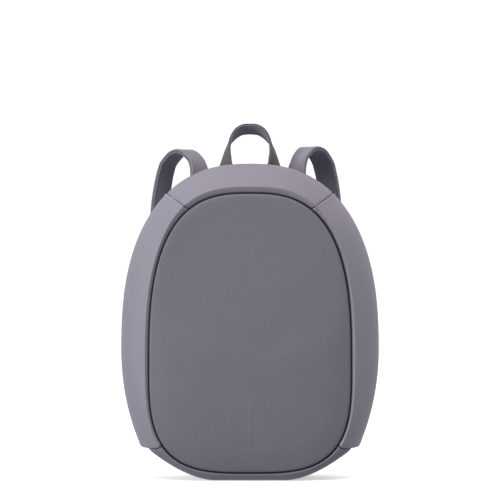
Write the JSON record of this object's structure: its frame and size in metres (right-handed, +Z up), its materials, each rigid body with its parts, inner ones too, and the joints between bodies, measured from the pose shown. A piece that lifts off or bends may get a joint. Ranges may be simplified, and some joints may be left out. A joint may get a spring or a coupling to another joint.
{
  "type": "anti theft backpack",
  "caption": "Egg-shaped hard-fronted city backpack in grey leather, standing upright, with grab handle and padded shoulder straps.",
  "frame": {"origin": "middle of the flat base that the bag stands on", "axes": "+X to the right seen from the front, +Y to the wearer's back, +Z up"},
  "size_m": [0.285, 0.1668, 0.3928],
  "materials": {
    "smooth_leather": "satin grey-violet smooth leather",
    "grain_leather": "matt grey-violet leather with a fine pebbled grain",
    "dark_piping": "near-black corded piping",
    "accent_strip": "plain thin inlaid strip",
    "zip_tape": "dark woven zip tape",
    "dark_plastic": "matt moulded plastic",
    "pad_mesh": "padded spacer mesh",
    "strap_leather": "grained leather with stitched edges",
    "strap_lining": "dark soft woven lining",
    "webbing": "dark ribbed webbing"
  },
  "bodies": {
    "root": {"gusset_top": "smooth_leather", "gusset_left": "smooth_leather", "gusset_right": "smooth_leather", "base_panel": "smooth_leather", "front_panel": "grain_leather", "front_piping": "dark_piping", "accent_strip": "accent_strip", "zip_band": "zip_tape", "zip_pull": "dark_plastic", "back_panel": "pad_mesh", "top_handle": "smooth_leather", "shoulder_strap_left": "strap_leather", "strap_lining_left": "strap_lining", "shoulder_strap_right": "strap_leather", "strap_lining_right": "strap_lining", "strap_adjuster_left": "dark_plastic", "lower_webbing_left": "webbing", "strap_adjuster_right": "dark_plastic", "lower_webbing_right": "webbing"}
  },
  "joints": []
}
